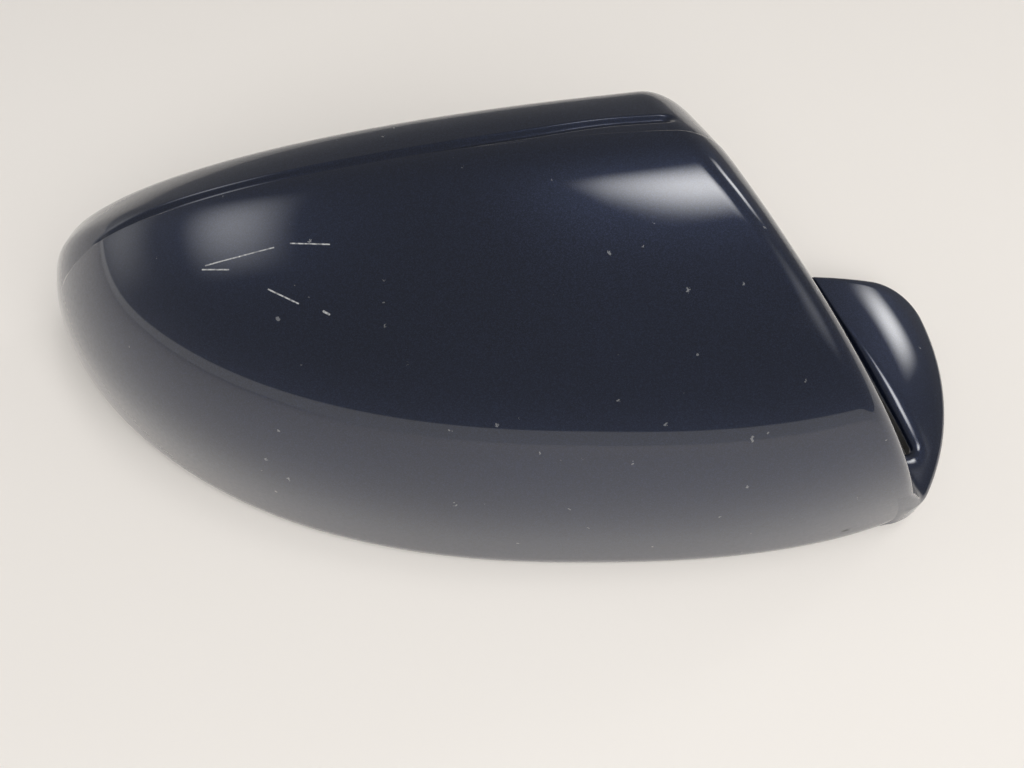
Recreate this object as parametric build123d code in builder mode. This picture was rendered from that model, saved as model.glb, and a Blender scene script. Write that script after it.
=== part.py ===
from build123d import *
from math import cos, pi, sin, sqrt
import os

# Driving dimensions in millimetres. X runs from the outboard nose to the inboard foot hook,
# Y from the near rim to the far rim, Z up from the surface that the open rim rests on.

# Shell
nose_x = -124.6
wall = 2.6

# Rim outline seen from above
nose_y = 22.5
near_rim_y = -60.5
near_run = 145.0
near_roundness = (2.2, 1.75)
near_bow = 45.0
bow_roundness = 2.6
far_shoulder = 8.8
far_run = 29.4
far_roundness = (2.0, 2.37)
far_sweep = 0.206

# Crown over the rim
crown_height = 80.0
crown_run = 150.0
crown_roundness = (2.2, 2.2)

# Corners of the cross-section from the near rim to the far rim, as shares of width and crown
section_corners = [
    (0.0, -0.3),
    (0.0, 0.0),
    (0.0, 0.29),
    (0.06, 0.61),
    (0.215, 0.88),
    (0.415, 1.02),
    (0.53, 1.055),
    (0.593, 1.035),
    (0.657, 1.007),
    (0.712, 0.981),
    (0.738, 0.916),
    (0.8, 0.66),
    (0.875, 0.36),
    (0.941, 0.13),
    (0.941, -0.05),
    (0.941, -0.3),
]
section_points = 25
section_count = 13
first_section = 0.3

# Slanted inboard end, its rolled edge that tightens towards the near foot, and its flange
end_x = 89.9
end_sweep = 0.479
end_lean = 0.416
end_roll = 8.0
foot_roll = 2.0
foot_roll_share = 0.346
roll_sections = 5
flange_depth = 14.0
flange_clearance = 6.0

# Foot hook: a shallow dish round a vertical axis, inside its outline seen from above
hook_x = 42.2
hook_y = -3.2
hook_radius = 81.5
hook_edge_z = 9.3
hook_top_z = 15.3
hook_edge_slope = 0.53
hook_edge_run = 6.3
hook_slope_run = 31.5
hook_root_x = 104.9
hook_root = 16.0
hook_corner = 12.0
hook_end_y = 20.8
hook_end_corner = 14.0

# Slot between the flange and the hook
slot_near_x = 108.4
slot_near_y = -32.5
slot_sweep = 0.32
slot_round = 3.0

# Rim, lifted at the nose and at the hook
nose_lift = 9.0
nose_lift_x = -44.0
hook_lift = 7.0
hook_lift_x = 85.0

# Upper strip, stepped down beyond its border, and the groove along it
strip_step = 0.5
strip_border = [(-129.0, 2.5), (-94.0, 4.5), (-54.0, 8.0), (1.0, 7.5), (71.0, 12.5)]
groove_depth = 1.4
groove_width = 4.2
groove_path = [(-96.0, 8.0), (-54.0, 11.5), (1.0, 11.0), (41.0, 15.5)]

# Locating pegs under the crown, each on a boss with crossed gussets
peg_places = [(-57.0, -8.0), (35.0, -10.0)]
peg_radius = 3.0
peg_tip_z = 46.0
peg_length = 12.0
boss_radius = 5.5
gusset_length = 30.0
gusset_thickness = 1.8

# Snap lugs and wall stiffeners above the rim
lug_x = [-65.0, -23.0, 19.0, 53.0]
lug_width = 11.0
lug_depth = 2.4
lug_lead = 3.0
lug_low_z = 4.0
lug_height = 6.0
stiffener_x = [-86.0, -44.0, -2.0, 36.0]
stiffener_thickness = 1.6
stiffener_depth = 2.8
stiffener_low_z = 6.0
stiffener_top_z = 30.0

reach = 200.0


def rise(share, roundness):
    """Quarter of a superellipse: 0 at the start, 1 with a level tangent at the end."""
    share = min(max(share, 0.0), 1.0)
    fall, root = roundness
    return (1 - (1 - share) ** fall) ** (1 / root)


def near_line(x, inset):
    """Near rim of the form at x, set in by inset."""
    share = (x - nose_x - inset) / near_run
    bow = near_bow * max(share - 1, 0.0) ** bow_roundness
    return nose_y - (nose_y - near_rim_y - inset) * rise(share, near_roundness) + bow


def far_line(x, inset):
    """Far line of the form at x, which the section's widths are shares of, set in by inset."""
    shoulder = (far_shoulder - inset) * rise((x - nose_x - inset) / far_run, far_roundness)
    return nose_y + shoulder + far_sweep * (x - nose_x)


def far_rim(x, inset):
    """Far rim of the form at x, set in by inset."""
    near = near_line(x, inset)
    return near + (far_line(x, inset) - near) * section_corners[-1][0]


def crown_line(x, inset):
    """Height of the form at x, set in by inset."""
    return (crown_height - inset) * rise((x - nose_x - inset) / crown_run, crown_roundness)


def arch_point(corners, share):
    """Point on the clamped cubic B-spline of the corners, by de Boor's rule."""
    spans = len(corners) - 3
    knots = [0] * 3 + list(range(spans + 1)) + [spans] * 3
    place = share * spans
    first = min(int(place), spans - 1)
    points = [Vector(*corner) for corner in corners[first:first + 4]]
    for level in range(1, 4):
        for i in range(3, level - 1, -1):
            low = knots[first + i]
            high = knots[first + i + 4 - level]
            weight = (place - low) / (high - low)
            points[i] = points[i - 1] * (1 - weight) + points[i] * weight
    return points[3]


def skin_point(station, tilt, share, inset):
    """Point of the form where its line at share meets the section plane through station."""
    x = station
    for _ in range(section_points):
        near = near_line(x, inset)
        far = far_line(x, inset)
        crown = crown_line(x, inset)
        corners = [(near + (far - near) * across, crown * up) for across, up in section_corners]
        arch = arch_point(corners, share)
        x = station - tilt * (end_sweep * arch.X + end_lean * arch.Y)
    return Vector(x, arch.X, arch.Y)


def section_plane(station, tilt):
    """Section plane through station, from upright at tilt 0 to the slant of the end at tilt 1."""
    slant = (1, tilt * end_sweep, tilt * end_lean)
    return Plane(origin=(station, 0, 0), x_dir=(-tilt * end_sweep, 1, 0), z_dir=slant)


def section_face(station, tilt, insets):
    """Cross-section of the form, closed under the rim, with one inset for each of its points."""
    plane = section_plane(station, tilt)
    last = section_points - 1
    arch = [skin_point(station, tilt, i / last, insets[i]) for i in range(section_points)]
    with BuildSketch(plane) as section:
        with BuildLine():
            skin = Spline([plane.to_local_coords(point) for point in arch])
            Line(skin @ 1, skin @ 0)
        make_face()
    return section.sketch


def roll_insets(depth, inset):
    """Insets of a section at this depth behind the end, where the edge rolls over."""
    insets = []
    for i in range(section_points):
        share = min(i / (section_points - 1) / foot_roll_share, 1)
        radius = max(foot_roll + (end_roll - foot_roll) * share - inset, 0)
        rolled = max(radius - depth, 0)
        insets.append(inset + radius - sqrt(radius ** 2 - rolled ** 2))
    return insets


def full_form(inset, end_inset):
    """Solid form of the cover, set in by inset, with its slanted end set in by end_inset."""
    slant = sqrt(1 + end_sweep ** 2 + end_lean ** 2)
    start = nose_x + inset
    end = end_x - end_inset * slant
    radius = end_roll - inset
    fan = end - radius * slant - start
    sections = []
    for i in range(section_count):
        share = 1 - cos(pi / 2 * i / (section_count - 1))
        share += (1 - share) * first_section / fan
        sections.append(section_face(start + fan * share, share ** 2, [inset] * section_points))
    for i in range(1, roll_sections):
        depth = radius * (1 - sin(pi / 2 * i / (roll_sections - 1)))
        sections.append(section_face(end - depth * slant, 1, roll_insets(depth, inset)))
    with BuildPart() as form:
        loft(sections)
    return form.part


def end_face_x(y, z):
    """X of the slanted end face."""
    return end_x - end_sweep * y - end_lean * z


def hook_block(inset):
    """Foot hook: the dish inside its plan outline, set in by inset."""
    root_y = near_line(hook_root_x, 0)
    root_slope = (near_line(hook_root_x + wall, 0) - root_y) / wall
    with BuildSketch() as plan:
        with Locations((hook_x, hook_y)):
            Circle(hook_radius)
        with BuildLine():
            Polyline(
                (hook_root_x, root_y),
                (hook_root_x + hook_root, root_y + root_slope * hook_root),
                (hook_x + hook_radius + hook_root, hook_end_y),
                (end_face_x(hook_end_y, hook_top_z) - hook_root, hook_end_y),
                (hook_root_x - hook_root, root_y + hook_root),
                close=True,
            )
        make_face(mode=Mode.INTERSECT)
        near_side = plan.vertices().filter_by_position(Axis.Y, -reach, hook_y - wall)
        fillet(near_side.sort_by(Axis.X)[-1], hook_corner)
        far_side = plan.vertices().filter_by_position(Axis.Y, hook_end_y - wall, reach)
        fillet(far_side.sort_by(Axis.X)[-1], hook_end_corner)
        if inset:
            offset(amount=-inset, mode=Mode.REPLACE)
    edge_z = hook_edge_z - inset
    top_z = hook_top_z - inset
    level_r = hook_radius - hook_slope_run
    steep_r = hook_radius - hook_edge_run
    with BuildPart() as hook:
        with BuildSketch(Plane((hook_x, hook_y, 0), x_dir=(1, 0, 0), z_dir=(0, -1, 0))):
            with BuildLine():
                slope = Bezier(
                    (hook_radius, edge_z),
                    (steep_r, edge_z + hook_edge_slope * hook_edge_run),
                    ((level_r + steep_r) / 2, top_z),
                    (level_r, top_z),
                )
                Polyline(slope @ 1, (0, top_z), (0, -hook_top_z), (hook_radius, -hook_top_z), slope @ 0)
            make_face()
        revolve(axis=Axis((hook_x, hook_y, 0), (0, 0, 1)))
        extrude(plan.sketch, amount=reach, both=True, mode=Mode.INTERSECT)
    return hook.part


def lug_plane(x, side_line, inward):
    """Upright plane across the inner wall at x, with its own X pointing into the hollow."""
    y = side_line(x, wall)
    slope = (side_line(x + wall, wall) - y) / wall
    return Plane(origin=(x, y, 0), x_dir=(-slope * inward, inward, 0), z_dir=(inward, slope * inward, 0))


outer_form = full_form(0, 0)
inner_form = full_form(wall, wall)
step_form = full_form(strip_step, 0)
floor_form = full_form(groove_depth, 0)
rib_form = full_form(wall / 2, wall)
stiffener_form = full_form(wall + stiffener_depth, wall)
hook_outer = hook_block(0)
hook_inner = hook_block(wall)
flange_outline = section_face(end_x, 1, [flange_depth] * section_points)

# Way through the slanted end for the mirror arm, leaving a flange all round
with BuildPart() as arm_opening:
    extrude(flange_outline, amount=wall + flange_clearance, both=True)

# Slot between the flange and the hook
with BuildPart() as hook_slot:
    slot_far_y = hook_end_y + hook_root
    with BuildSketch(Plane.XY.offset(-reach)) as slot_plan:
        with BuildLine():
            Polyline(
                (slot_near_x, slot_near_y),
                (slot_near_x - slot_sweep * (slot_far_y - slot_near_y), slot_far_y),
                (end_face_x(slot_far_y, hook_top_z), slot_far_y),
                (end_face_x(slot_near_y, hook_top_z), slot_near_y),
                close=True,
            )
        make_face()
        fillet(slot_plan.vertices().sort_by(Axis.X)[-1], slot_round)
    extrude(amount=reach + hook_top_z + wall)

# Everything under the rim, which lifts at the nose and at the hook
with BuildPart() as under_rim:
    hook_end_x = hook_x + hook_radius
    with BuildSketch(Plane.XZ):
        with BuildLine():
            flat = Line((nose_lift_x, 0), (hook_lift_x, 0))
            nose_arc = TangentArc(flat @ 0, (nose_x, nose_lift), tangent=(-1, 0))
            hook_arc = TangentArc(flat @ 1, (hook_end_x, hook_lift), tangent=(1, 0))
            Polyline(
                nose_arc @ 1,
                (nose_x - wall, nose_lift),
                (nose_x - wall, -reach),
                (hook_end_x + wall, -reach),
                (hook_end_x + wall, hook_lift),
                hook_arc @ 1,
            )
        make_face()
    extrude(amount=reach, both=True)

# Room over the upper strip, which lies one step below the rest of the skin
with BuildPart() as strip:
    with BuildSketch():
        with BuildLine():
            border = Spline(strip_border)
            Polyline(border @ 1, (strip_border[-1][0], reach), (strip_border[0][0], reach), border @ 0)
        make_face()
    extrude(amount=reach)
    add(step_form, mode=Mode.SUBTRACT)

# Groove along the strip, pointed outboard and round inboard
with BuildPart() as groove:
    half = groove_width / 2
    tip = groove_path[0]
    close_end = groove_path[-1]
    with BuildSketch():
        with BuildLine():
            lower = Spline([tip] + [(x, y - half) for x, y in groove_path[1:]])
            upper = Spline([tip] + [(x, y + half) for x, y in groove_path[1:]])
            ThreePointArc(lower @ 1, (close_end[0] + half, close_end[1]), upper @ 1)
        make_face()
    extrude(amount=reach)
    add(floor_form, mode=Mode.SUBTRACT)

# Locating pegs, with bosses and gussets that grow out of the crown
with BuildPart() as pegs:
    rising = (Align.CENTER, Align.CENTER, Align.MIN)
    for peg_x, peg_y in peg_places:
        with Locations((peg_x, peg_y, peg_tip_z)):
            Cylinder(peg_radius, reach, align=rising)
        with Locations((peg_x, peg_y, peg_tip_z + peg_length)):
            Cylinder(boss_radius, reach, align=rising)
            Box(gusset_length, gusset_thickness, reach, align=rising)
            Box(gusset_thickness, gusset_length, reach, align=rising)
    add(rib_form, mode=Mode.INTERSECT)

# Stiffeners that run up both side walls
with BuildPart() as stiffeners:
    for stiffener in stiffener_x:
        with Locations((stiffener, 0, stiffener_low_z)):
            Box(stiffener_thickness, reach, stiffener_top_z - stiffener_low_z, align=rising)
    add(rib_form, mode=Mode.INTERSECT)
    add(stiffener_form, mode=Mode.SUBTRACT)

# Snap lugs on both side walls, with a lead-in below
with BuildPart() as lugs:
    for side_line, inward in ((near_line, 1), (far_rim, -1)):
        for x in lug_x:
            with BuildSketch(lug_plane(x, side_line, inward)):
                with BuildLine():
                    Polyline(
                        (-wall / 2, lug_low_z),
                        (0, lug_low_z),
                        (lug_depth, lug_low_z + lug_lead),
                        (lug_depth, lug_low_z + lug_height),
                        (-wall / 2, lug_low_z + lug_height),
                        close=True,
                    )
                make_face()
            extrude(amount=lug_width / 2, both=True)

with BuildPart() as mirror_cover:
    add(outer_form)
    add(hook_outer)
    add(strip.part, mode=Mode.SUBTRACT)
    add(groove.part, mode=Mode.SUBTRACT)
    add(inner_form, mode=Mode.SUBTRACT)
    add(hook_inner, mode=Mode.SUBTRACT)
    add(arm_opening.part, mode=Mode.SUBTRACT)
    add(hook_slot.part, mode=Mode.SUBTRACT)
    add(under_rim.part, mode=Mode.SUBTRACT)
    add(pegs.part)
    add(stiffeners.part)
    add(lugs.part)

os.makedirs("parts", exist_ok=True)
mirror_cover.part.label = "mirror_cover"
export_step(mirror_cover.part, "parts/mirror_cover.step")
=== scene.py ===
from math import atan2, cos, pi, radians, sin, sqrt, tan

import bmesh
import bpy
import numpy as np
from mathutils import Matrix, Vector


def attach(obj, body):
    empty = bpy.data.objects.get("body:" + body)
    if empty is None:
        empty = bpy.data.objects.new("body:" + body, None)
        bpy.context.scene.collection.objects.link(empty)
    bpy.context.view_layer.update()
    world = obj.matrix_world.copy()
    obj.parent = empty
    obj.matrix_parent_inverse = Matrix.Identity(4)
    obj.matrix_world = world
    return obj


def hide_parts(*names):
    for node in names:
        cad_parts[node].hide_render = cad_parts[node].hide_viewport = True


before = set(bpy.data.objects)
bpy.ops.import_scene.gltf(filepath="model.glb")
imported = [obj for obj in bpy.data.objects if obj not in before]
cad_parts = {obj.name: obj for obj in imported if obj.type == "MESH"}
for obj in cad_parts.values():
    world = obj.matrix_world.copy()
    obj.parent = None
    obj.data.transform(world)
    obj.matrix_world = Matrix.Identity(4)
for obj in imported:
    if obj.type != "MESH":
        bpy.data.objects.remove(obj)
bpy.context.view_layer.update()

# Sizes of the cover in millimetres
MM = 0.001
LEAST_SIZE = 0.001
WALL = 2.6
NOSE_X, NOSE_Y = -124.6, 22.5
NEAR_RIM_Y, NEAR_RUN, NEAR_ROUNDNESS = -60.5, 145.0, (2.2, 1.75)
NEAR_BOW, BOW_ROUNDNESS = 45.0, 2.6
FAR_SHOULDER, FAR_RUN, FAR_ROUNDNESS, FAR_SWEEP = 8.8, 29.4, (2.0, 2.37), 0.206
CROWN_HEIGHT, CROWN_RUN, CROWN_ROUNDNESS = 80.0, 150.0, (2.2, 2.2)
SECTION_CORNERS = [
    (0.0, -0.3), (0.0, 0.0), (0.0, 0.29), (0.06, 0.61), (0.215, 0.88), (0.415, 1.02),
    (0.53, 1.055), (0.593, 1.035), (0.657, 1.007), (0.712, 0.981), (0.738, 0.916),
    (0.8, 0.66), (0.875, 0.36), (0.941, 0.13), (0.941, -0.05), (0.941, -0.3),
]
END_X, END_SWEEP, END_LEAN = 89.9, 0.479, 0.416
END_ROLL, FOOT_ROLL, FOOT_ROLL_SHARE = 8.0, 2.0, 0.346
FLANGE_DEPTH = 14.0
NOSE_LIFT, NOSE_LIFT_X = 9.0, -44.0
HOOK_LIFT, HOOK_LIFT_X = 7.0, 85.0
RIM_TUCK, RIM_TALL = 1.3, 5.0

# Upper strip and its groove, as the photograph shows them
STRIP_STEP, STRIP_EDGE = 0.5, 0.6
STRIP_FLAT, STRIP_WIDTH, STRIP_FADE, NOSE_FADE = 0.6, 11.0, (10.0, 45.0), (-114.0, -96.0)
TIP_FADE = (-123.0, -117.0)
CREST_UP, CREST_RISE, CREST_RUN, CREST_FADE = 0.955, 0.45, 0.075, (36.0, 50.0)
STRIP_BORDER = [
    (-129.0, 3.6), (-96.0, 3.1), (-70.0, 2.0), (-40.0, 2.9), (1.0, 6.6), (38.0, 10.0), (71.0, 8.6),
]
GROOVE_DEPTH, GROOVE_WIDTH, GROOVE_TAIL = 1.0, 4.0, 0.2
GROOVE_PATH = [
    (-98.0, 4.8), (-75.0, 4.2), (-50.0, 4.8), (-25.0, 6.5), (5.0, 10.4), (28.0, 14.3), (39.5, 15.0),
]

# Foot hook and the slot beside it
HOOK_X, HOOK_Y, HOOK_RADIUS = 50.3, -5.3, 73.3
HOOK_EDGE_Z, HOOK_TOP_Z = 9.3, 15.3
HOOK_EDGE_SLOPE, HOOK_EDGE_RUN, HOOK_SLOPE_RUN = 0.53, 6.3, 31.5
HOOK_ROOT_X, HOOK_CORNER = 104.9, 12.0
HOOK_END_Y, HOOK_END_CORNER = 20.8, 14.0
SLOT_NEAR_X, SLOT_NEAR_Y, SLOT_SWEEP, SLOT_ROUND = 110.4, -33.8, 0.37, 3.0
HOOK_EDGE_ROUND = 1.2
SLOT_EDGE_RUNS = [(-20.0, 5.5), (5.0, 1.2)]
SLOT_EDGE_DROP = 2.4
VALLEY, VALLEY_SINK = 12.0, 0.6
ROOT_TAIL, ROOT_TURN, ROOT_RISE = 6.0, 1.2, 14.0
SLOT_OVERLAP = 2.0
HIDDEN_RISE, HIDDEN_SINK, HIDDEN_END_Y = 8.0, 1.0, -47.0

# Pegs, lugs and stiffeners inside
PEG_PLACES = [(-57.0, -8.0), (35.0, -10.0)]
PEG_RADIUS, PEG_TIP_Z, PEG_LENGTH = 3.0, 46.0, 12.0
BOSS_RADIUS, GUSSET_LENGTH, GUSSET_THICKNESS = 5.5, 30.0, 1.8
NEAR_LUG_X = [-65.0, -23.0, 19.0, 53.0]
FAR_LUG_X = [-65.0, -23.0, 19.0, 42.0]
LUG_WIDTH, LUG_DEPTH, LUG_LEAD, LUG_LOW_Z, LUG_HEIGHT = 11.0, 2.4, 3.0, 4.0, 6.0
STIFFENER_X = [-86.0, -44.0, -2.0, 36.0]
STIFFENER_THICKNESS, STIFFENER_DEPTH = 1.6, 2.8
STIFFENER_LOW_Z, STIFFENER_TOP_Z = 6.0, 30.0
RIB_SINK, RIB_LEAST = 0.2, 0.2
POST_CHAMFER = 0.4

# Paint and its wear; scratches, one pale streak that is partly scuffing and partly a painted highlight, and
# the chip run between two points, with a width
NAVY_DEEP = (0.011, 0.015, 0.030, 1.0)
NAVY_FLAKE = (0.036, 0.052, 0.115, 1.0)
FLAKE_SCALE, FLAKE_SHARE, CLOUD_SHARE = 6000.0, 0.5, 0.3
COAT_IOR, COAT_ROUGHNESS = 1.68, 0.015
PAINT_METALLIC, PAINT_ROUGHNESS, PAINT_UNEVEN = 0.85, 0.34, 0.1
SCRATCHES_AND_HIGHLIGHT_STREAK = [
    ((-48.0, -21.4, 67.3), (-41.1, -25.1, 67.2), 0.24),
    ((-43.0, -13.2, 72.9), (-34.2, -14.7, 74.5), 0.22),
    ((-64.2, -14.3, 64.9), (-57.6, -15.8, 66.9), 0.22),
    # The next two marks are one pale streak along the crest: partly real scuffing, partly a painted
    # highlight of a lamp's edge
    ((-63.4, -13.7, 65.6), (-55.0, -13.7, 68.9), 0.22),
    ((-55.0, -13.7, 68.9), (-46.9, -13.4, 71.7), 0.22),
    ((-35.4, -27.2, 67.3), (-34.2, -27.9, 67.2), 0.35),
]
CHIP = ((89.4, -53.9, 7.1), (90.6, -53.3, 7.1), 0.6)
MARK_CORE = 0.4
# Break-up and strength of the scratches and of the painted highlight streak; dust, scratches and that
# painted highlight share the pale colour
BREAK_RANGE, SCRATCH_AND_HIGHLIGHT_STRENGTH, SCRATCH_AND_HIGHLIGHT_UNEVEN = (0.35, 0.6), 0.45, 0.4
WORN_AND_HIGHLIGHT_COLOUR = (0.55, 0.55, 0.54, 1.0)
CHIP_COLOUR = (0.006, 0.006, 0.006, 1.0)

# Dust: cells per metre, largest speck in cells, share of the cells that have one
DUST_FINE, DUST_COARSE, DUST_SHADE = (420.0, 0.2, 0.05), (150.0, 0.12, 0.05), 0.35
SPECK_BEND, SPECK_BEND_SCALE = 0.5, 6.0

# Noise: scale and detail
PAINT_CLOUD, PAINT_GRAIN, SCRATCH_AND_HIGHLIGHT_BREAK = (18.0, 3.0), (900.0, 1.0), (1500.0, 2.0)
PLASTIC_CLOUD, PLASTIC_GRAIN, FLOOR_CLOUD = (30.0, 3.0), (1400.0, 2.0), (4.0, 3.0)

# Plastic of the inside and the floor
PLASTIC_DARK, PLASTIC_PALE = (0.010, 0.010, 0.011, 1.0), (0.022, 0.022, 0.023, 1.0)
PLASTIC_ROUGHNESS, PLASTIC_UNEVEN = 0.42, 0.2
GRAIN_STRENGTH, GRAIN_DEPTH = 0.25, 0.0002
FLOOR_DARK, FLOOR_PALE = (0.80, 0.755, 0.70, 1.0), (0.84, 0.80, 0.75, 1.0)
FLOOR_ROUGHNESS, FLOOR_REACH = 0.6, 1.1

# Mesh density
FAN_ROWS, ROLL_ROWS, FLANGE_ROWS = 230, 14, 3
RIM_COLUMNS, NEAR_COLUMNS, BAND_COLUMNS, CREST_COLUMNS, FAR_COLUMNS = 8, 56, 44, 14, 22
BAND_BEFORE, BAND_BEYOND = 1.0, 2.6
BAND_MARGIN, BAND_LEAST = 0.2, 0.26
FIT_TURNS, HALVINGS = 25, 40
ARCH_POINTS, DISH_POINTS, TIP_SEARCH = 4001, 200, 20.0
HOOK_ROWS, HOOK_COLUMNS, EDGE_COLUMNS, UNDER_COLUMNS = 120, 40, 7, 12
FIRST_SHARES, COLUMN_SPAN = [0, 0.004, 0.012, 0.025, 0.04, 0.06], (0.09, 0.9)
SIDE_SHARES = (0.25, 0.5, 0.75, 1.0)
FLAT_LEAST, EDGE_LEAST = 6.0, 3.0
CORNER_POINTS, ARC_POINTS = 40, 120
BEND_POINTS, SLOT_POINTS, BORDER_POINTS, BORDER_EASE = 12, 160, 400, 1.15
PEG_SIDES, BOSS_SIDES, GUSSET_POINTS, STIFFENER_POINTS = 32, 40, 24, 16
FREE_DEPTH = 99.0
WELD, LEAST_EDGE = 0.000002, 0.000001
SHELL_SHARP, HOOK_SHARP, FITTING_SHARP, LUG_SHARP = 38.0, 50.0, 35.0, 20.0

# Room around the cover: pale low down in front, dim above and behind
ROOM_LOW = (0.74, 0.72, 0.69, 1.0)
ROOM_HIGH = (0.19, 0.19, 0.195, 1.0)
ROOM_TILT, ROOM_EDGE = 0.08, 0.007

# Soft boxes: name, azimuth, elevation, distance, width, height, brightness, dim edges, seen in gloss
SOFT_BOXES = [
    ("left_card", -74, 9, 1.8, 1.4, 0.75, 0.5, True, True),
    ("right_card", 104, 40, 1.8, 2.1, 0.95, 0.8, True, True),
    ("left_window", -80, 40, 1.6, 1.2, 0.8, 1.9, True, True),
    ("right_window", 60, 72, 1.6, 0.65, 0.55, 8.0, True, True),
    ("low_window", 51, 31, 1.8, 0.58, 0.4, 7.5, True, True),
    ("front_fill", 160, 56, 1.6, 1.8, 1.4, 3.4, False, False),
]

# View of the photograph
SENSOR, CLIP_START = 36.0, 0.01
VIEW_TARGET = (5.1, -18.5, 21.0)
VIEW_DISTANCE, VIEW_ELEVATION, VIEW_ANGLE = 256.0, 60.0, 55.0


# Form of the shell

def rise(share, roundness):
    """Quarter of a superellipse: 0 at the start, 1 with a level tangent at the end."""
    fall, root = roundness
    return (1 - (1 - np.clip(share, 0, 1)) ** fall) ** (1 / root)


def near_line(x, inset):
    """Near rim of the form at x, set in by inset."""
    share = (x - NOSE_X - inset) / NEAR_RUN
    bow = NEAR_BOW * np.maximum(share - 1, 0) ** BOW_ROUNDNESS
    return NOSE_Y - (NOSE_Y - NEAR_RIM_Y - inset) * rise(share, NEAR_ROUNDNESS) + bow


def far_line(x, inset):
    """Far line that the section's widths are shares of, set in by inset."""
    shoulder = (FAR_SHOULDER - inset) * rise((x - NOSE_X - inset) / FAR_RUN, FAR_ROUNDNESS)
    return NOSE_Y + shoulder + FAR_SWEEP * (x - NOSE_X)


def crown_line(x, inset):
    """Height of the form at x, set in by inset."""
    height = (CROWN_HEIGHT - inset) * rise((x - NOSE_X - inset) / CROWN_RUN, CROWN_ROUNDNESS)
    return np.maximum(height, LEAST_SIZE)


def rim_height(x):
    """Height of the rim, which lifts in an arc at the nose and at the hook."""
    height = np.zeros_like(np.asarray(x, float))
    hook_reach = HOOK_X + HOOK_RADIUS - HOOK_LIFT_X
    for run, span, up in ((NOSE_LIFT_X - x, NOSE_LIFT_X - NOSE_X, NOSE_LIFT),
                          (x - HOOK_LIFT_X, hook_reach, HOOK_LIFT)):
        radius = (span ** 2 + up ** 2) / (2 * up)
        height = height + radius - np.sqrt(radius ** 2 - np.clip(run, 0, span) ** 2)
    return height


def arch_table(count):
    """Points along the clamped cubic B-spline of the section's corners, by de Boor's rule."""
    corners = np.array(SECTION_CORNERS)
    spans = len(corners) - 3
    knots = np.array([0] * 3 + list(range(spans + 1)) + [spans] * 3, float)
    place = np.linspace(0, spans, count)
    first = np.minimum(place.astype(int), spans - 1)
    points = [corners[first + i] for i in range(4)]
    for level in range(1, 4):
        for i in range(3, level - 1, -1):
            low = knots[first + i]
            high = knots[first + i + 4 - level]
            weight = ((place - low) / (high - low))[:, None]
            points[i] = points[i - 1] * (1 - weight) + points[i] * weight
    return np.linspace(0, 1, count), points[3][:, 0], points[3][:, 1]


SHARES, ACROSS, UP = arch_table(ARCH_POINTS)
TOP = int(np.argmax(UP))


def near_share(up):
    """Share of the arch at this height on its near side."""
    return np.interp(up, UP[:TOP + 1], SHARES[:TOP + 1])


def far_share(up):
    """Share of the arch at this height on its far side."""
    return np.interp(up, UP[TOP:][::-1], SHARES[TOP:][::-1])


def smooth_line(points):
    """Function through the points with a continuous slope (Catmull-Rom)."""
    xs = np.array([p[0] for p in points])
    ys = np.array([p[1] for p in points])
    slopes = np.gradient(ys, xs)

    def at(x):
        x = np.clip(x, xs[0], xs[-1])
        i = np.clip(np.searchsorted(xs, x) - 1, 0, len(xs) - 2)
        step = xs[i + 1] - xs[i]
        t = (x - xs[i]) / step
        return (ys[i] * (1 + 2 * t) * (1 - t) ** 2 + slopes[i] * step * t * (1 - t) ** 2
                + ys[i + 1] * t ** 2 * (3 - 2 * t) + slopes[i + 1] * step * t ** 2 * (t - 1))
    return at


def smooth_step(t):
    """0 at 0, 1 at 1, level at both."""
    t = np.clip(t, 0, 1)
    return t * t * (3 - 2 * t)


CREST_SHARE = float(far_share(CREST_UP))
border_y = smooth_line(STRIP_BORDER)
groove_y = smooth_line(GROOVE_PATH)


def fade(x, span):
    """1 before the span, 0 after it."""
    return 1 - smooth_step((x - span[0]) / (span[1] - span[0]))


def relief(x, y, share):
    """Depth below the smooth form: strip, groove and the nose's tip, less the strip's far crest."""
    over = y - border_y(x)
    flat = STRIP_FLAT * (1 - smooth_step(over / STRIP_WIDTH)) * fade(x, STRIP_FADE)
    step = (STRIP_STEP + flat) * smooth_step(over / STRIP_EDGE + 0.5) * (1 - fade(x, NOSE_FADE))
    first, second, last = GROOVE_PATH[0][0], GROOVE_PATH[1][0], GROOVE_PATH[-1][0]
    taper = np.sqrt(np.clip((x - first) / (second - first), 0, 1))
    off = np.hypot(np.maximum(x - last, 0), y - groove_y(x))
    half = GROOVE_WIDTH / 2 * np.maximum(taper, GROOVE_TAIL)
    hollow = GROOVE_DEPTH * taper * (0.5 + 0.5 * np.cos(pi * np.clip(off / half, 0, 1)))
    crest = CREST_RISE * np.maximum(1 - np.abs(share - CREST_SHARE) / CREST_RUN, 0) ** 2
    tip = STRIP_STEP * fade(x, TIP_FADE)
    return step + hollow + tip - crest * crown_line(x, 0.0) / CROWN_HEIGHT * fade(x, CREST_FADE)


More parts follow.
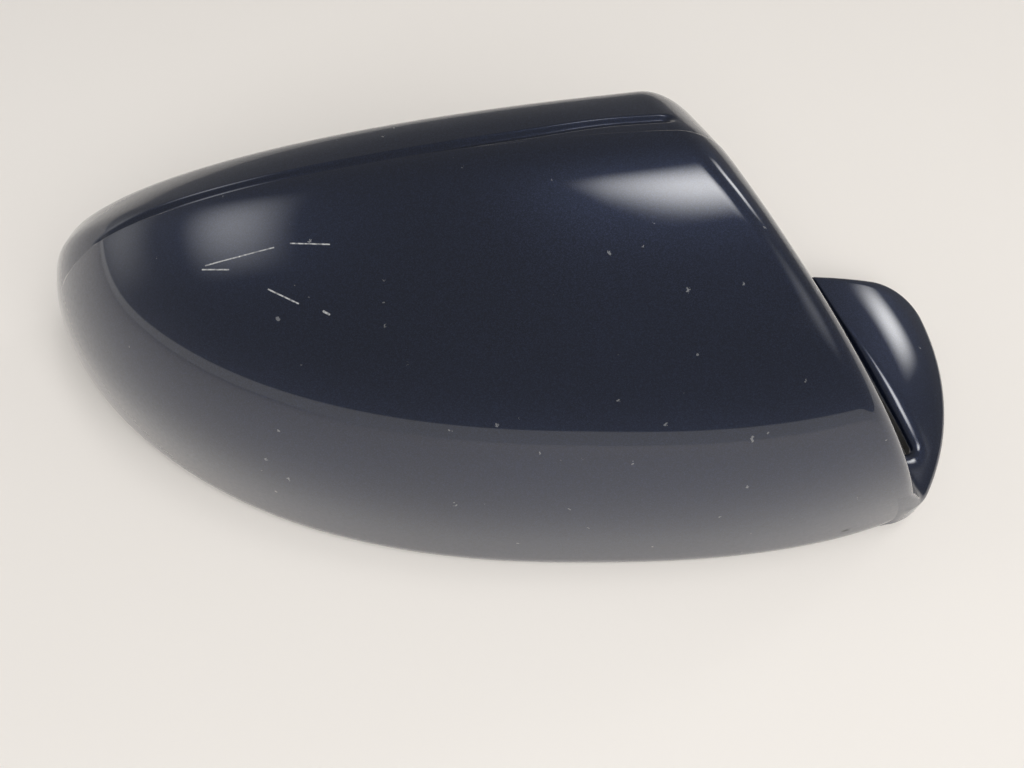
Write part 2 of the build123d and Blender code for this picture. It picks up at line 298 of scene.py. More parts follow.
# Columns of the skin's grid from the near rim to the far rim
RIM_LIFTS = RIM_TALL * (1 - np.cos(np.linspace(0, pi / 2, RIM_COLUMNS + 1)[:-1]))
RIM_TUCKS = RIM_TUCK * (1 - np.sqrt(1 - (1 - RIM_LIFTS / RIM_TALL) ** 2))
COLUMNS = 2 * RIM_COLUMNS + NEAR_COLUMNS + BAND_COLUMNS + CREST_COLUMNS + FAR_COLUMNS
NEAR_STEPS = np.arange(NEAR_COLUMNS) / NEAR_COLUMNS
BAND_STEPS = np.linspace(0, 1, BAND_COLUMNS)
CREST_STEPS = np.arange(1, CREST_COLUMNS + 1) / CREST_COLUMNS
FAR_STEPS = np.arange(1, FAR_COLUMNS + 1) / FAR_COLUMNS
NEAR_BLOCK = slice(RIM_COLUMNS, RIM_COLUMNS + NEAR_COLUMNS)
FAR_BLOCK = slice(COLUMNS - RIM_COLUMNS - FAR_COLUMNS, COLUMNS - RIM_COLUMNS)
CREST_BLOCK = slice(FAR_BLOCK.start - CREST_COLUMNS, FAR_BLOCK.start)
BAND_PLACE = np.ones(COLUMNS)
BAND_PLACE[:NEAR_BLOCK.stop] = 0
BAND_PLACE[NEAR_BLOCK.stop:CREST_BLOCK.start] = BAND_STEPS
SLANT = sqrt(1 + END_SWEEP ** 2 + END_LEAN ** 2)


def column_shares(x, near, far, crown):
    """Share of the arch for every column, with a fine band on the strip's border and the groove."""
    low = rim_height(x)
    start = near_share((low + RIM_TALL) / crown)
    stop = far_share((low + RIM_TALL) / crown)
    room = stop - start
    first = border_y(x) - BAND_BEFORE
    last = groove_y(x) + BAND_BEYOND
    line = first + (last - first) * BAND_PLACE
    share = np.interp((line - near) / np.maximum(far - near, LEAST_SIZE), ACROSS, SHARES)
    least = start + room * (BAND_MARGIN + BAND_LEAST * BAND_PLACE)
    most = stop - room * (BAND_MARGIN + BAND_LEAST * (1 - BAND_PLACE))
    share = np.clip(share, least, most)
    share[NEAR_BLOCK] = start[NEAR_BLOCK] + (share - start)[NEAR_BLOCK] * NEAR_STEPS
    margin = BAND_MARGIN * (stop - share)
    crest = np.clip(CREST_SHARE, share + margin, stop - margin)
    share[CREST_BLOCK] = share[CREST_BLOCK] + (crest - share)[CREST_BLOCK] * CREST_STEPS
    share[FAR_BLOCK] = crest[FAR_BLOCK] + (stop - crest)[FAR_BLOCK] * FAR_STEPS
    near_rim = slice(0, RIM_COLUMNS)
    far_rim = slice(COLUMNS - RIM_COLUMNS, COLUMNS)
    share[near_rim] = near_share((low[near_rim] + RIM_LIFTS) / crown[near_rim])
    share[far_rim] = far_share((low[far_rim] + RIM_LIFTS[::-1]) / crown[far_rim])
    return share


def roll_radius(share):
    """Radius of the rolled end, which tightens towards the near foot."""
    return FOOT_ROLL + (END_ROLL - FOOT_ROLL) * np.minimum(share / FOOT_ROLL_SHARE, 1)


def skin_row(station, tilt, depth, inner, flange):
    """One row of the skin: the form's section at station, rolled over by its depth behind the end."""
    x = np.full(COLUMNS, float(station))
    y = np.zeros(COLUMNS)
    share = np.linspace(0, 1, COLUMNS)
    base = WALL if inner else 0.0
    tuck = np.zeros(COLUMNS)
    if not inner:
        tuck[:RIM_COLUMNS] = RIM_TUCKS
        tuck[-RIM_COLUMNS:] = RIM_TUCKS[::-1]
    length = END_X - NOSE_X
    for _ in range(FIT_TURNS):
        radius = np.maximum(roll_radius(share) - base, 0)
        rolled = np.maximum(radius - depth, 0)
        inset = base + radius - np.sqrt(radius ** 2 - rolled ** 2)
        inset = inset + (FLANGE_DEPTH - inset) * flange
        if not inner and not flange:
            inset = np.maximum(inset, tuck) + relief(x, y, share)
        near = near_line(x, inset)
        far = far_line(x, inset)
        crown = crown_line(x, inset)
        share = column_shares(x, near, far, crown)
        y = near + (far - near) * np.interp(share, SHARES, ACROSS)
        z = crown * np.interp(share, SHARES, UP)
        place = station
        if depth > END_ROLL:
            place = NOSE_X + inset + (station - NOSE_X) * (1 - inset / length)
        x = place - tilt * (END_SWEEP * y + END_LEAN * z)
    return np.stack([x, y, z], axis=1)


def tip_station():
    """X of the nose's tip, where the crown meets the lifted rim."""
    low, high = NOSE_X, NOSE_X + TIP_SEARCH
    for _ in range(HALVINGS):
        middle = (low + high) / 2
        if crown_line(middle, 0.0) * UP[TOP] < rim_height(middle):
            low = middle
        else:
            high = middle
    return high


def shell_rows(inner):
    """Rows of one side of the shell, from the nose to the edge of the arm opening."""
    base = WALL if inner else 0.0
    end = END_X - base * SLANT
    radius = END_ROLL - base
    start = tip_station()
    fan = END_X - END_ROLL * SLANT - start
    rows = []
    for i in range(FAN_ROWS):
        share = 1 - cos(pi / 2 * i / (FAN_ROWS - 1))
        station = start + fan * share
        if inner:
            station = start + WALL + (end - radius * SLANT - start - WALL) * share
        depth = END_ROLL if i == FAN_ROWS - 1 else FREE_DEPTH
        rows.append(skin_row(station, share ** 2, depth, inner, 0.0))
    for i in range(1, ROLL_ROWS):
        depth = radius * (1 - sin(pi / 2 * i / (ROLL_ROWS - 1)))
        rows.append(skin_row(end - depth * SLANT, 1.0, depth, inner, 0.0))
    for i in range(1, FLANGE_ROWS + 1):
        rows.append(skin_row(end, 1.0, 0.0, inner, i / FLANGE_ROWS))
    return np.array(rows)


def add_mesh(name, points, faces, materials, face_materials, sharp_angle):
    """Smooth mesh object in the frame's metres, with edges over sharp_angle degrees kept sharp."""
    mesh = bpy.data.meshes.new(name)
    mesh.from_pydata([tuple(p) for p in np.asarray(points) * MM], [], faces)
    for material in materials:
        mesh.materials.append(material)
    mesh.polygons.foreach_set("material_index", face_materials)
    work = bmesh.new()
    work.from_mesh(mesh)
    bmesh.ops.remove_doubles(work, verts=work.verts, dist=WELD)
    bmesh.ops.dissolve_degenerate(work, edges=work.edges, dist=LEAST_EDGE)
    bmesh.ops.recalc_face_normals(work, faces=work.faces)
    for face in work.faces:
        face.smooth = True
    for edge in work.edges:
        paired = len(edge.link_faces) == 2
        edge.smooth = paired and edge.calc_face_angle(0.0) < radians(sharp_angle)
    work.to_mesh(mesh)
    work.free()
    piece = bpy.data.objects.new(name, mesh)
    bpy.context.scene.collection.objects.link(piece)
    return piece


def shell_piece(paint, plastic):
    """The whole shell: outer skin, rolled end and flange, inner skin and rim."""
    outer = shell_rows(False)
    inner = shell_rows(True)
    count = len(outer)
    rows = np.concatenate([outer, inner[::-1]])
    points = rows.reshape(-1, 3)
    faces = []
    kinds = []
    for i in range(len(rows) - 1):
        for j in range(COLUMNS - 1):
            a = i * COLUMNS + j
            faces.append((a, a + 1, a + COLUMNS + 1, a + COLUMNS))
            kinds.append(0 if i < count else 1)
    for i in range(count - 1):
        for j in (0, COLUMNS - 1):
            a = i * COLUMNS + j
            b = (2 * count - 1 - i) * COLUMNS + j
            faces.append((a, a + COLUMNS, b - COLUMNS, b))
            kinds.append(0)
    return add_mesh("painted_shell", points, faces, [paint, plastic], kinds, SHELL_SHARP)


# Form of the hook

def line_of(points, count):
    """The polyline through the points as evenly spaced points."""
    points = np.array(points, float)
    run = np.concatenate([[0], np.cumsum(np.linalg.norm(np.diff(points, axis=0), axis=1))])
    at = np.linspace(0, run[-1], count)
    return np.stack([np.interp(at, run, points[:, 0]), np.interp(at, run, points[:, 1])], axis=1)


def arc_points(centre, radius, start, stop, count):
    """Points of an arc between two angles."""
    angles = np.linspace(start, stop, count)
    return [(centre[0] + radius * cos(a), centre[1] + radius * sin(a)) for a in angles]


def slot_border_x(y):
    """X of the slot's straight border on the hook."""
    return SLOT_NEAR_X - SLOT_SWEEP * (y - SLOT_NEAR_Y)


def hook_outline(inset):
    """Plan outline from the hook's free inner corner round to its root on the near rim."""
    middle = np.array([HOOK_X, HOOK_Y])
    radius = HOOK_RADIUS - inset
    end_y = HOOK_END_Y - inset
    corner = HOOK_END_CORNER - inset
    reach = radius - corner
    far_y = end_y - corner
    far = np.array([HOOK_X + sqrt(reach ** 2 - (far_y - HOOK_Y) ** 2), far_y])
    root = np.array([HOOK_ROOT_X, float(near_line(HOOK_ROOT_X, 0.0))])
    slope = float(near_line(HOOK_ROOT_X + WALL, 0.0) - near_line(HOOK_ROOT_X, 0.0)) / WALL
    along = np.array([1, slope]) / sqrt(1 + slope ** 2)
    inward = np.array([-along[1], along[0]])
    near_corner = HOOK_CORNER - inset
    base = root + inward * HOOK_CORNER - middle
    reach = radius - near_corner
    half = base @ along
    travel = -half + sqrt(half ** 2 - base @ base + reach ** 2)
    near = middle + base + along * travel
    far_turn = atan2(*(far - middle)[::-1])
    near_turn = atan2(*(near - middle)[::-1])
    straight = atan2(-inward[1], -inward[0])
    points = [(slot_border_x(end_y), end_y)]
    points += arc_points(far, corner, pi / 2, far_turn, CORNER_POINTS)
    points += arc_points(middle, radius, far_turn, near_turn, ARC_POINTS)[1:]
    points += arc_points(near, near_corner, near_turn, straight, CORNER_POINTS)[1:]
    foot = root + inward * inset
    points += [tuple(foot), tuple(foot - along * ROOT_TAIL + inward * ROOT_TURN)]
    return points


def dish_height(x, y):
    """Height of the hook's dish."""
    level = HOOK_RADIUS - HOOK_SLOPE_RUN
    steep = HOOK_RADIUS - HOOK_EDGE_RUN
    t = np.linspace(0, 1, DISH_POINTS)
    knots = [HOOK_RADIUS, steep, (level + steep) / 2, level]
    heights = [HOOK_EDGE_Z, HOOK_EDGE_Z + HOOK_EDGE_SLOPE * HOOK_EDGE_RUN, HOOK_TOP_Z, HOOK_TOP_Z]
    weights = [(1 - t) ** 3, 3 * t * (1 - t) ** 2, 3 * t ** 2 * (1 - t), t ** 3]
    radii = sum(w * k for w, k in zip(weights, knots))
    tall = sum(w * k for w, k in zip(weights, heights))
    return np.interp(np.hypot(x - HOOK_X, y - HOOK_Y), radii[::-1], tall[::-1])


def distance_to(points, line):
    """Distance of plan points from a polyline."""
    best = np.full(len(points), np.inf)
    for a, b in zip(line[:-1], line[1:]):
        run = b - a
        t = np.clip(((points - a) @ run) / max(run @ run, LEAST_SIZE ** 2), 0, 1)
        best = np.minimum(best, np.linalg.norm(points - a - t[:, None] * run, axis=1))
    return best


def quarter_drop(distance, radius):
    """Drop of a rounded edge at this distance inside it."""
    inside = np.clip(radius - distance, 0, radius)
    return radius - np.sqrt(radius ** 2 - inside ** 2)


def slot_drop(points, slot_line):
    """Drop of the edge beside the slot, whose rounding widens towards the root."""
    places, runs = zip(*SLOT_EDGE_RUNS)
    share = distance_to(points, slot_line) / np.interp(points[:, 1], places, runs)
    return SLOT_EDGE_DROP * quarter_drop(share, 1.0)


def wall_x(y, z):
    """X of the slanted plane of the shell's end."""
    return END_X - END_SWEEP * y - END_LEAN * z


def shell_height(x, y):
    """Height of the shell's skin over a plan point at its slanted, rolled end; 0 outside it."""
    low = np.zeros_like(x)
    high = np.full_like(x, CROWN_HEIGHT)
    for _ in range(HALVINGS):
        z = (low + high) / 2
        depth = (wall_x(y, z) - x) / SLANT
        share = near_share(z / crown_line(x, 0.0))
        inset = quarter_drop(np.maximum(depth, 0), roll_radius(share))
        inside = (depth > 0) & (roof_height(x, y, inset) > z)
        low = np.where(inside, z, low)
        high = np.where(inside, high, z)
    return low


def hook_piece(paint, plastic):
    """The hook as closed sections that follow its outline from the free corner to the root."""
    outline = line_of(hook_outline(0.0), HOOK_ROWS)
    inside = line_of(hook_outline(WALL), HOOK_ROWS)
    corner = np.array([SLOT_NEAR_X, SLOT_NEAR_Y])
    along = np.array([-SLOT_SWEEP, 1]) / sqrt(1 + SLOT_SWEEP ** 2)
    wall_side = wall_x(SLOT_NEAR_Y, HOOK_TOP_Z) - SLOT_OVERLAP
    back = np.array([-1, 0])
    turn = np.linspace(0, 1, BEND_POINTS)
    bend = [tuple(corner + (along * (1 - t) ** 2 + back * t ** 2) * SLOT_ROUND) for t in turn]
    slot_edge = [(slot_border_x(HOOK_END_Y), HOOK_END_Y)] + bend + [(wall_side, SLOT_NEAR_Y)]
    slot_line = line_of(slot_edge, SLOT_POINTS)
    hidden_y = np.linspace(SLOT_NEAR_Y - SLOT_OVERLAP, HIDDEN_END_Y, BEND_POINTS)
    hidden = [(wall_x(y, HOOK_TOP_Z + HIDDEN_RISE) - HIDDEN_SINK, y) for y in hidden_y]
    border = line_of(slot_edge + hidden, BORDER_POINTS)
    reach = np.linspace(0, 1, HOOK_ROWS) ** BORDER_EASE * (BORDER_POINTS - 1)
    border = np.stack([np.interp(reach, np.arange(BORDER_POINTS), border[:, k]) for k in (0, 1)], axis=1)

    def top_height(points):
        """Height of the hook's top, with a soft valley where it meets the shell."""
        height = dish_height(points[:, 0], points[:, 1])
        face = shell_height(points[:, 0], points[:, 1]) - VALLEY_SINK
        gap = np.clip(VALLEY - np.abs(height - face), 0, VALLEY)
        joined = np.maximum(height, face) + gap ** 2 / (4 * VALLEY) * np.clip(face / HOOK_EDGE_Z, 0, 1)
        return np.minimum(joined, HOOK_TOP_Z + ROOT_RISE)

    shares = np.concatenate([FIRST_SHARES, np.linspace(*COLUMN_SPAN, HOOK_COLUMNS)])
    edge_steps = HOOK_EDGE_ROUND * (1 - np.sin(np.linspace(0, pi / 2, EDGE_COLUMNS)))
    full_outline = np.array(hook_outline(0.0))
    rows = []
    for i in range(HOOK_ROWS):
        inner_end, outer_end = border[i], outline[i]
        span = outer_end - inner_end
        length = np.linalg.norm(span)
        flat = 1 - HOOK_EDGE_ROUND * 2 / max(length, FLAT_LEAST)
        ladder = np.concatenate([shares * flat, 1 - edge_steps / max(length, EDGE_LEAST)])
        ladder = np.clip(np.maximum.accumulate(ladder), 0, 1)
        plan = inner_end + ladder[:, None] * span
        height = top_height(plan)
        height = height - slot_drop(plan, slot_line)
        height = height - quarter_drop(distance_to(plan, full_outline[:-1]), HOOK_EDGE_ROUND)
        top = np.column_stack([plan, height])
        low = rim_height(outer_end[0])
        side_top = top[-1, 2]
        side = [(outer_end[0], outer_end[1], side_top + (low - side_top) * t) for t in SIDE_SHARES]
        within = inside[i]
        under_low = rim_height(within[0])
        under_plan = within + np.linspace(0, 1, UNDER_COLUMNS)[:, None] * (inner_end - within)
        under_top = dish_height(under_plan[:, 0], under_plan[:, 1]) - WALL
        under_top = under_top - slot_drop(under_plan, slot_line)
        under = np.column_stack([under_plan, np.maximum(under_top, under_low)])
        ring = np.concatenate([top, side, [(within[0], within[1], under_low)], under])
        rows.append(ring)
    count = len(rows[0])
    points = np.concatenate(rows)
    faces = []
    kinds = []
    for i in range(HOOK_ROWS - 1):
        for j in range(count):
            a = i * count + j
            b = i * count + (j + 1) % count
            faces.append((a, b, b + count, a + count))
            kinds.append(0 if j < count - UNDER_COLUMNS - 1 else 1)
    faces.append(tuple((HOOK_ROWS - 1) * count + j for j in range(count)))
    kinds.append(0)
    return add_mesh("painted_hook", points, faces, [paint, plastic], kinds, HOOK_SHARP)


# Fittings inside the shell

def roof_height(x, y, inset):
    """Height of the form over a plan point."""
    near, far = near_line(x, inset), far_line(x, inset)
    share = np.interp((y - near) / (far - near), ACROSS, SHARES)
    return crown_line(x, inset) * np.interp(share, SHARES, UP)


def box_strip(path_low, path_high, half, across):
    """Closed rib between two polylines, half as thick to each side along across."""
    low, high = np.array(path_low, float), np.array(path_high, float)
    across = np.array(across, float) * half
    rows = [np.array([a - across, a + across, b + across, b - across]) for a, b in zip(low, high)]
    points = np.concatenate(rows)
    faces = []
    for i in range(len(rows) - 1):
        for j in range(4):
            a, b = i * 4 + j, i * 4 + (j + 1) % 4
            faces.append((a, b, b + 4, a + 4))
    last = (len(rows) - 1) * 4
    faces += [(3, 2, 1, 0), (last, last + 1, last + 2, last + 3)]
    return points, faces


def round_post(x, y, radius, low, inset, count):
    """Round post from low up into the crown."""
    angles = np.linspace(0, 2 * pi, count, endpoint=False)
    ring = np.column_stack([x + radius * np.cos(angles), y + radius * np.sin(angles)])
    top = roof_height(ring[:, 0], ring[:, 1], inset)
    tip = radius - POST_CHAMFER
    points = np.concatenate([
        np.column_stack([x + tip * np.cos(angles), y + tip * np.sin(angles), np.full(count, low)]),
        np.column_stack([ring, np.full(count, low + POST_CHAMFER)]),
        np.column_stack([ring, top]),
    ])
    faces = [tuple(range(count))[::-1]]
    for k in range(2):
        for i in range(count):
            a, b = k * count + i, k * count + (i + 1) % count
            faces.append((a, b, b + count, a + count))
    faces.append(tuple(2 * count + i for i in range(count)))
    return points, faces


def joined(parts):
    """The points and faces of all the parts as one mesh."""
    points = []
    faces = []
    for more_points, more_faces in parts:
        base = len(points)
        points += [tuple(p) for p in more_points]
        faces += [tuple(base + i for i in face) for face in more_faces]
    return points, faces


def wall_y(x, z, inset, near_side):
    """Y of the near or far wall at this x and height, set in by inset."""
    up = z / crown_line(x, inset)
    share = near_share(up) if near_side else far_share(up)
    near = near_line(x, inset)
    return float(near + (far_line(x, inset) - near) * np.interp(share, SHARES, ACROSS))


def fitting_parts():
    """Pegs on bosses with crossed gussets, and stiffeners up both walls."""
    parts = []
    boss_z = PEG_TIP_Z + PEG_LENGTH
    inset = WALL - RIB_SINK
    for x, y in PEG_PLACES:
        parts.append(round_post(x, y, PEG_RADIUS, PEG_TIP_Z, inset, PEG_SIDES))
        parts.append(round_post(x, y, BOSS_RADIUS, boss_z, inset, BOSS_SIDES))
        run = np.linspace(-GUSSET_LENGTH / 2, GUSSET_LENGTH / 2, GUSSET_POINTS)
        for ax, ay in ((1, 0), (0, 1)):
            low = [(x + ax * t, y + ay * t, boss_z) for t in run]
            high = [(x + ax * t, y + ay * t, roof_height(x + ax * t, y + ay * t, inset)) for t in run]
            low = [(a[0], a[1], min(a[2], b[2] - RIB_LEAST)) for a, b in zip(low, high)]
            parts.append(box_strip(low, high, GUSSET_THICKNESS / 2, (ay, ax, 0)))
    rises = np.linspace(STIFFENER_LOW_Z, STIFFENER_TOP_Z, STIFFENER_POINTS)
    for x in STIFFENER_X:
        for near_side in (True, False):
            inner = []
            outer = []
            for z in rises:
                for depth, points in ((WALL + STIFFENER_DEPTH, inner), (WALL / 2, outer)):
                    points.append((x, wall_y(x, z, depth, near_side), z))
            parts.append(box_strip(inner, outer, STIFFENER_THICKNESS / 2, (1, 0, 0)))
    return joined(parts)


def lug_points():
    """Places of the snap lugs, on the wall's inside at their tops, with the turn of each."""
    places = []
    top = LUG_LOW_Z + LUG_HEIGHT
    for near_side, inward, stations in ((True, 1, NEAR_LUG_X), (False, -1, FAR_LUG_X)):
        for x in stations:
            y = wall_y(x, top, WALL, near_side)
            slope = (wall_y(x + WALL, top, WALL, near_side) - y) / WALL
            places.append(((x, y, 0.0), atan2(inward, -slope * inward)))
    return places


# Shader maths

class Field:
    """A socket of a node tree whose operators add the nodes for them."""

    def __init__(self, tree, socket):
        self.tree = tree
        self.socket = socket

    def math(self, operation, *others):
        """Math node on this socket and the others."""
        values = (self,) + others
        return node(self.tree, "ShaderNodeMath", {"operation": operation}, dict(enumerate(values)))

    def __add__(self, other):
        return self.math("ADD", other)

    __radd__ = __add__

    def __sub__(self, other):
        return self.math("SUBTRACT", other)

    def __rsub__(self, other):
        return (self * -1) + other

    def __mul__(self, other):
        return self.math("MULTIPLY", other)

    __rmul__ = __mul__

    def __pow__(self, other):
        return self.math("POWER", other)

    def over(self, limit):
        return self.math("GREATER_THAN", limit)

    def most(self, other):
        return self.math("MAXIMUM", other)

    def ramp(self, low, high):
        """0 below low, 1 above high, smooth between."""
        return node(self.tree, "ShaderNodeMapRange", {"interpolation_type": "SMOOTHSTEP"},
                    {"Value": self, "From Min": low, "From Max": high})


def node(tree, kind, settings, inputs, output=0):
    """Adds a node, sets it and links its inputs; gives its output as a Field."""
    made = tree.nodes.new(kind)
    for key, value in settings.items():
        setattr(made, key, value)
    for key, value in inputs.items():
        socket = made.inputs[key]
        if isinstance(value, Field):
            tree.links.new(value.socket, socket)
        else:
            socket.default_value = value
    return Field(tree, made.outputs[output])


def blend(tree, share, first, second):
    """Colour between first and second."""
    return node(tree, "ShaderNodeMix", {"data_type": "RGBA"}, {0: share, 6: first, 7: second}, 2)


def new_material(name):
    """Material with its tree, its shader and the object's own coordinates."""
    material = bpy.data.materials.new(name)
    material.use_nodes = True
    tree = material.node_tree
    shader = tree.nodes["Principled BSDF"]
    place = node(tree, "ShaderNodeTexCoord", {}, {}, "Object")
    return material, tree, shader, place


def noise(tree, place, grain):
    """Noise of the given scale and detail."""
    scale, detail = grain
    return node(tree, "ShaderNodeTexNoise", {}, {"Vector": place, "Scale": scale, "Detail": detail}, "Fac")


def cells(tree, place, scale, output):
    """One output of irregular cells."""
    return node(tree, "ShaderNodeTexVoronoi", {"feature": "F1"}, {"Vector": place, "Scale": scale}, output)


def set_socket(tree, shader, name, value):
    """Links the value to the shader's socket, or sets it there."""
    if isinstance(value, Field):
        tree.links.new(value.socket, shader.inputs[name])
    else:
        shader.inputs[name].default_value = value


def mark(tree, place, start, stop, width):
    """1 within a thin straight mark between two points of the form in millimetres."""
    first = Vector(start) * MM
    run = Vector(stop) * MM - first
    offset = node(tree, "ShaderNodeVectorMath", {"operation": "SUBTRACT"}, {0: place, 1: first})
    along = node(tree, "ShaderNodeVectorMath", {"operation": "DOT_PRODUCT"},
                 {0: offset, 1: run / run.length_squared}, "Value")
    along = node(tree, "ShaderNodeClamp", {}, {"Value": along})
    foot = node(tree, "ShaderNodeVectorMath", {"operation": "SCALE"}, {0: run, "Scale": along})
    away = node(tree, "ShaderNodeVectorMath", {"operation": "DISTANCE"}, {0: offset, 1: foot}, "Value")
    return 1 - away.ramp(width * MM * MARK_CORE, width * MM)


def specks(tree, place, scale, size, amount):
    """Irregular specks in a few of the cells, each of its own size."""
    wobble = node(tree, "ShaderNodeTexNoise", {},
                  {"Vector": place, "Scale": scale * SPECK_BEND_SCALE, "Detail": 1.0}, "Color")
    bent = node(tree, "ShaderNodeVectorMath", {"operation": "MULTIPLY_ADD"},
                {0: wobble, 1: (SPECK_BEND / scale,) * 3, 2: place})
    shade = node(tree, "ShaderNodeSeparateColor", {}, {"Color": cells(tree, bent, scale, "Color")}, 0)
    chosen = shade.over(1 - amount)
    reach = (shade - (1 - amount)) * (size / amount)
    return chosen * (reach - cells(tree, bent, scale, "Distance")).over(0.0)


def navy_paint():
    """Dark navy metallic paint under clear coat, with flakes, dust, fine scratches, a pale streak that is
    partly a painted highlight, and a chip.
    """
    material, tree, shader, place = new_material("navy_metallic_paint")
    flakes = cells(tree, place, FLAKE_SCALE, "Color")
    flake_shade = node(tree, "ShaderNodeSeparateColor", {}, {"Color": flakes}, 0)
    cloud = noise(tree, place, PAINT_CLOUD)
    sparkle = flake_shade ** 2 * FLAKE_SHARE + cloud * CLOUD_SHARE
    colour = blend(tree, sparkle, NAVY_DEEP, NAVY_FLAKE)
    dust = specks(tree, place, *DUST_FINE).most(specks(tree, place, *DUST_COARSE))
    scratches_and_highlight = 0.0
    for start, stop, width in SCRATCHES_AND_HIGHLIGHT_STREAK:
        scratches_and_highlight = mark(tree, place, start, stop, width) + scratches_and_highlight
    broken = noise(tree, place, SCRATCH_AND_HIGHLIGHT_BREAK).ramp(*BREAK_RANGE)
    # Dust, scratches and the painted highlight streak turn the paint pale
    worn_and_highlight = (dust * DUST_SHADE).most(scratches_and_highlight * (SCRATCH_AND_HIGHLIGHT_STRENGTH + broken * SCRATCH_AND_HIGHLIGHT_UNEVEN))
    chip = mark(tree, place, *CHIP)
    colour = blend(tree, worn_and_highlight, colour, WORN_AND_HIGHLIGHT_COLOUR)
    colour = blend(tree, chip, colour, CHIP_COLOUR)
    # Worn places, the chip and the painted highlight streak lose the metal and the coat
    bare_and_highlight = worn_and_highlight.most(chip)
    set_socket(tree, shader, "Base Color", colour)
    roughness = PAINT_ROUGHNESS + noise(tree, place, PAINT_GRAIN) * PAINT_UNEVEN
    set_socket(tree, shader, "Roughness", roughness)
    set_socket(tree, shader, "Metallic", PAINT_METALLIC - bare_and_highlight * PAINT_METALLIC)
    set_socket(tree, shader, "Coat Weight", 1 - bare_and_highlight)
    set_socket(tree, shader, "Coat Roughness", COAT_ROUGHNESS)
    set_socket(tree, shader, "Coat IOR", COAT_IOR)
    return material


def black_plastic():
    """Bare black moulded plastic of the inside, with a fine spark texture."""
    material, tree, shader, place = new_material("bare_black_plastic")
    grain = noise(tree, place, PLASTIC_GRAIN)
    cloud = noise(tree, place, PLASTIC_CLOUD)
    set_socket(tree, shader, "Base Color", blend(tree, cloud, PLASTIC_DARK, PLASTIC_PALE))
    set_socket(tree, shader, "Roughness", PLASTIC_ROUGHNESS + grain * PLASTIC_UNEVEN)
    bump = node(tree, "ShaderNodeBump", {},
                {"Strength": GRAIN_STRENGTH, "Distance": GRAIN_DEPTH, "Height": grain})
    set_socket(tree, shader, "Normal", bump)
    return material


def pale_surface():
    """Pale matt surface that the cover lies on."""
    material, tree, shader, place = new_material("pale_surface")
    cloud = noise(tree, place, FLOOR_CLOUD)
    set_socket(tree, shader, "Base Color", blend(tree, cloud, FLOOR_DARK, FLOOR_PALE))
    set_socket(tree, shader, "Roughness", FLOOR_ROUGHNESS)
    return material


# Repeated lugs by Geometry Nodes

def lug_tree(lug, plastic):
    """Tree that sets the lug on every point, turned by the point's own turn."""
    tree = bpy.data.node_groups.new("snap_lugs", "GeometryNodeTree")
    tree.interface.new_socket("Places", in_out="INPUT", socket_type="NodeSocketGeometry")
    size = tree.interface.new_socket("Lug size", in_out="INPUT", socket_type="NodeSocketFloat")
    tree.interface.new_socket("Lugs", in_out="OUTPUT", socket_type="NodeSocketGeometry")
    start = tree.nodes.new("NodeGroupInput")
    stop = tree.nodes.new("NodeGroupOutput")
    shape = node(tree, "GeometryNodeObjectInfo", {}, {"Object": lug}, "Geometry")
    turn = node(tree, "GeometryNodeInputNamedAttribute", {"data_type": "FLOAT"}, {"Name": "turn"})
    angles = node(tree, "ShaderNodeCombineXYZ", {}, {"Z": turn})
    points = node(tree, "GeometryNodeMeshToPoints", {}, {"Mesh": Field(tree, start.outputs["Places"])})
    scale = Field(tree, start.outputs["Lug size"])
    set_out = node(tree, "GeometryNodeInstanceOnPoints", {},
                   {"Points": points, "Instance": shape, "Rotation": angles, "Scale": scale})
    real = node(tree, "GeometryNodeRealizeInstances", {}, {"Geometry": set_out})
    finished = node(tree, "GeometryNodeSetMaterial", {}, {"Geometry": real, "Material": plastic})
    tree.links.new(finished.socket, stop.inputs["Lugs"])
    return tree, size.identifier


def lug_piece(plastic):
    """All the snap lugs as one piece."""
    profile = [(-WALL / 2, LUG_LOW_Z), (0, LUG_LOW_Z), (LUG_DEPTH, LUG_LOW_Z + LUG_LEAD),
               (LUG_DEPTH, LUG_LOW_Z + LUG_HEIGHT), (-WALL / 2, LUG_LOW_Z + LUG_HEIGHT)]
    count = len(profile)
    points = [(u, side * LUG_WIDTH / 2, z) for side in (-1, 1) for u, z in profile]
    faces = [tuple(range(count)), tuple(range(count, 2 * count))[::-1]]
    faces += [(i, i + count, (i + 1) % count + count, (i + 1) % count) for i in range(count)]
    lug = add_mesh("one_lug", points, faces, [plastic], [0] * len(faces), LUG_SHARP)
    places = lug_points()
    mesh = bpy.data.meshes.new("snap_lugs")
    mesh.from_pydata([tuple(c * MM for c in spot) for spot, turn in places], [], [])
    turns = mesh.attributes.new("turn", "FLOAT", "POINT")
    turns.data.foreach_set("value", [turn for spot, turn in places])
    piece = bpy.data.objects.new("snap_lugs", mesh)
    bpy.context.scene.collection.objects.link(piece)
    tree, size = lug_tree(lug, plastic)
    maker = piece.modifiers.new("lugs", "NODES")
    maker.node_group = tree
    maker[size] = 1.0
    seen = piece.evaluated_get(bpy.context.evaluated_depsgraph_get())
    made = bpy.data.meshes.new_from_object(seen)
    piece.modifiers.remove(maker)
    piece.data = made
    bpy.data.objects.remove(lug)
    return piece


# Camera, floor and light

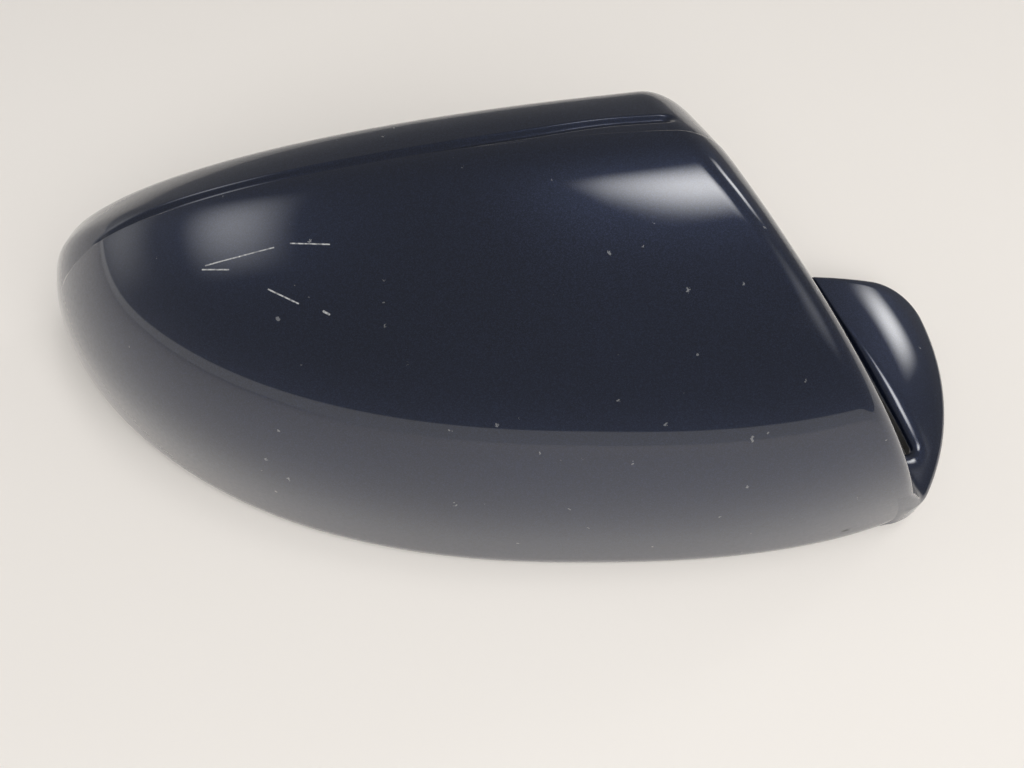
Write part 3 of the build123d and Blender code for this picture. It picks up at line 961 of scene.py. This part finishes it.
def add_camera():
    """Camera of the photograph."""
    camera = bpy.data.objects.new("photo_camera", bpy.data.cameras.new("photo_camera"))
    camera.data.sensor_width = SENSOR
    camera.data.lens = SENSOR / 2 / tan(radians(VIEW_ANGLE / 2))
    camera.data.clip_start = CLIP_START
    elevation = radians(VIEW_ELEVATION)
    away = Vector((0, -cos(elevation), sin(elevation))) * VIEW_DISTANCE
    camera.location = (Vector(VIEW_TARGET) + away) * MM
    camera.rotation_euler = (pi / 2 - elevation, 0, 0)
    bpy.context.scene.collection.objects.link(camera)
    bpy.context.scene.camera = camera


def add_floor():
    """Plain floor under the cover."""
    mesh = bpy.data.meshes.new("pale_floor")
    corners = [(x * FLOOR_REACH, y * FLOOR_REACH, 0) for x, y in ((-1, -1), (1, -1), (1, 1), (-1, 1))]
    mesh.from_pydata(corners, [], [(0, 1, 2, 3)])
    mesh.materials.append(pale_surface())
    floor = bpy.data.objects.new("pale_floor", mesh)
    bpy.context.scene.collection.objects.link(floor)


def add_soft_box(name, azimuth, elevation, distance, width, height, brightness, fades, seen_in_gloss):
    """Soft box that faces the cover; azimuth runs from +Y towards +X."""
    lamp = bpy.data.lights.new(name, "AREA")
    lamp.shape = "RECTANGLE"
    lamp.size = width
    lamp.size_y = height
    lamp.energy = brightness * pi * width * height
    if fades:
        lamp.use_nodes = True
        tree = lamp.node_tree
        place = node(tree, "ShaderNodeNewGeometry", {}, {}, "Parametric")
        across = node(tree, "ShaderNodeSeparateXYZ", {}, {"Vector": place}, 0)
        up = node(tree, "ShaderNodeSeparateXYZ", {}, {"Vector": place}, 1)
        window = (across * (1 - across) * 4 * up * (1 - up) * 4) ** 2
        tree.links.new(window.socket, tree.nodes["Emission"].inputs["Strength"])
    box = bpy.data.objects.new(name, lamp)
    a, e = radians(azimuth), radians(elevation)
    box.location = (distance * sin(a) * cos(e), distance * cos(a) * cos(e), distance * sin(e))
    box.rotation_euler = (pi / 2 - e, 0, pi - a)
    box.visible_glossy = seen_in_gloss
    bpy.context.scene.collection.objects.link(box)


def add_light():
    """Plain room with soft boxes."""
    world = bpy.data.worlds.new("soft_room")
    world.use_nodes = True
    tree = world.node_tree
    way = node(tree, "ShaderNodeTexCoord", {}, {}, "Generated")
    back = node(tree, "ShaderNodeSeparateXYZ", {}, {"Vector": way}, 1)
    height = node(tree, "ShaderNodeSeparateXYZ", {}, {"Vector": way}, 2)
    room = blend(tree, (height + back * ROOM_TILT).ramp(-ROOM_EDGE, ROOM_EDGE), ROOM_LOW, ROOM_HIGH)
    tree.links.new(room.socket, tree.nodes["Background"].inputs["Color"])
    bpy.context.scene.world = world
    for box in SOFT_BOXES:
        add_soft_box(*box)


scene = bpy.context.scene
scene.view_settings.view_transform = "Standard"
add_camera()
add_floor()
add_light()

paint = navy_paint()
plastic = black_plastic()
shell = shell_piece(paint, plastic)
hook = hook_piece(paint, plastic)
fitting_points, fitting_faces = fitting_parts()
fitting_kinds = [0] * len(fitting_faces)
fittings = add_mesh("pegs_and_ribs", fitting_points, fitting_faces, [plastic], fitting_kinds, FITTING_SHARP)
lugs = lug_piece(plastic)

for piece in (shell, hook, fittings, lugs):
    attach(piece, "root")
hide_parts("mirror_cover")
